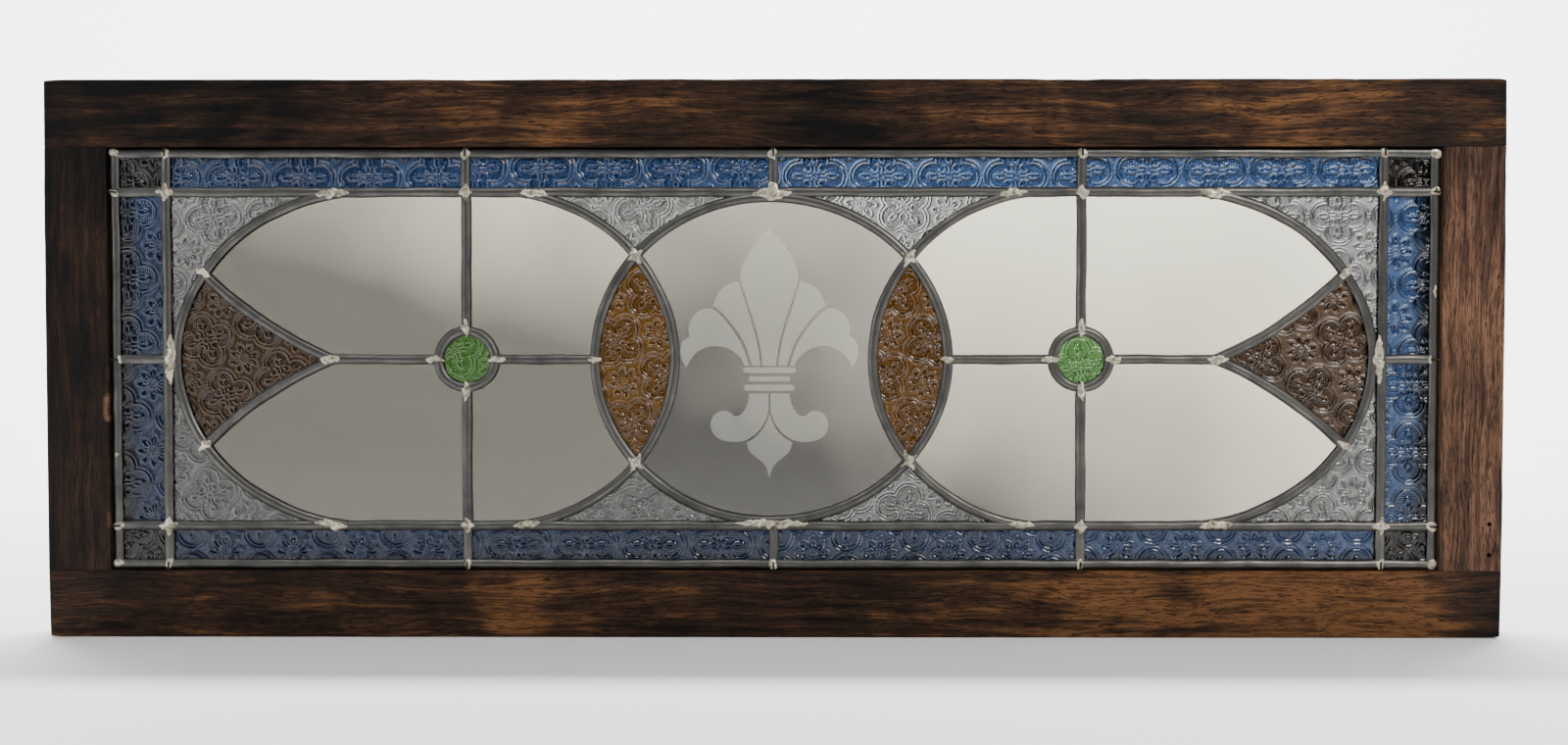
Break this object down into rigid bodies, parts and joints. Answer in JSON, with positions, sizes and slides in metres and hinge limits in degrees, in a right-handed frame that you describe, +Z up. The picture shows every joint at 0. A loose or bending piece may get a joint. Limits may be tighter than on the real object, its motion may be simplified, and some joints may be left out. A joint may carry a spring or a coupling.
{
  "type": "stained glass window",
  "caption": "Low, wide leaded window: circle and ovals of clear and coloured glass in lead cames, pinned in a dark wooden frame; made to be fixed in a wall.",
  "frame": {"origin": "middle of the frame's underside, where the window sits on its sill", "axes": "+X to the right along the sill, +Y from the front face to the back, +Z up"},
  "size_m": [0.914, 0.028, 0.35],
  "materials": {
    "frame_wood": "dark stained, worn and sooty wood",
    "lead": "dull grey lead came with paler solder joints",
    "blue_glass": "blue pattern glass",
    "dark_amber_glass": "very dark amber pattern glass",
    "amber_glass": "amber pattern glass",
    "green_glass": "green ribbed glass",
    "pattern_glass": "clear pattern glass",
    "clear_glass": "clear, faintly hazy glass; the middle pane has a frosted fleur-de-lis",
    "pin_steel": "dark, rusty steel pins"
  },
  "bodies": {
    "root": {"amber_end_left": "amber_glass", "amber_end_right": "amber_glass", "amber_lens_left": "amber_glass", "amber_lens_right": "amber_glass", "blue_border_bottom_left_inner": "blue_glass", "blue_border_bottom_left_outer": "blue_glass", "blue_border_bottom_right_inner": "blue_glass", "blue_border_bottom_right_outer": "blue_glass", "blue_border_side_left_bottom": "blue_glass", "blue_border_side_left_top": "blue_glass", "blue_border_side_right_bottom": "blue_glass", "blue_border_side_right_top": "blue_glass", "blue_border_top_left_inner": "blue_glass", "blue_border_top_left_outer": "blue_glass", "blue_border_top_right_inner": "blue_glass", "blue_border_top_right_outer": "blue_glass", "circle_spandrel_left_bottom": "pattern_glass", "circle_spandrel_left_top": "pattern_glass", "circle_spandrel_right_bottom": "pattern_glass", "circle_spandrel_right_top": "pattern_glass", "clear_pane_left_bottom_inner": "clear_glass", "clear_pane_left_bottom_outer": "clear_glass", "clear_pane_left_top_inner": "clear_glass", "clear_pane_left_top_outer": "clear_glass", "clear_pane_right_bottom_inner": "clear_glass", "clear_pane_right_bottom_outer": "clear_glass", "clear_pane_right_top_inner": "clear_glass", "clear_pane_right_top_outer": "clear_glass", "corner_spandrel_left_bottom": "pattern_glass", "corner_spandrel_left_top": "pattern_glass", "corner_spandrel_right_bottom": "pattern_glass", "corner_spandrel_right_top": "pattern_glass", "corner_square_left_bottom": "dark_amber_glass", "corner_square_left_top": "dark_amber_glass", "corner_square_right_bottom": "dark_amber_glass", "corner_square_right_top": "dark_amber_glass", "fleur_de_lis_pane": "clear_glass", "frame_bottom_rail": "frame_wood", "frame_left_stile": "frame_wood", "frame_right_stile": "frame_wood", "frame_top_rail": "frame_wood", "lead_cames": "lead", "pin_bottom_1": "pin_steel", "pin_bottom_2": "pin_steel", "pin_bottom_3": "pin_steel", "pin_bottom_4": "pin_steel", "pin_bottom_5": "pin_steel", "pin_left_1": "pin_steel", "pin_left_2": "pin_steel", "pin_left_3": "pin_steel", "pin_right_1": "pin_steel", "pin_right_2": "pin_steel", "pin_right_3": "pin_steel", "pin_top_1": "pin_steel", "pin_top_2": "pin_steel", "pin_top_3": "pin_steel", "pin_top_4": "pin_steel", "pin_top_5": "pin_steel", "rondel_left": "green_glass", "rondel_right": "green_glass"}
  },
  "joints": []
}
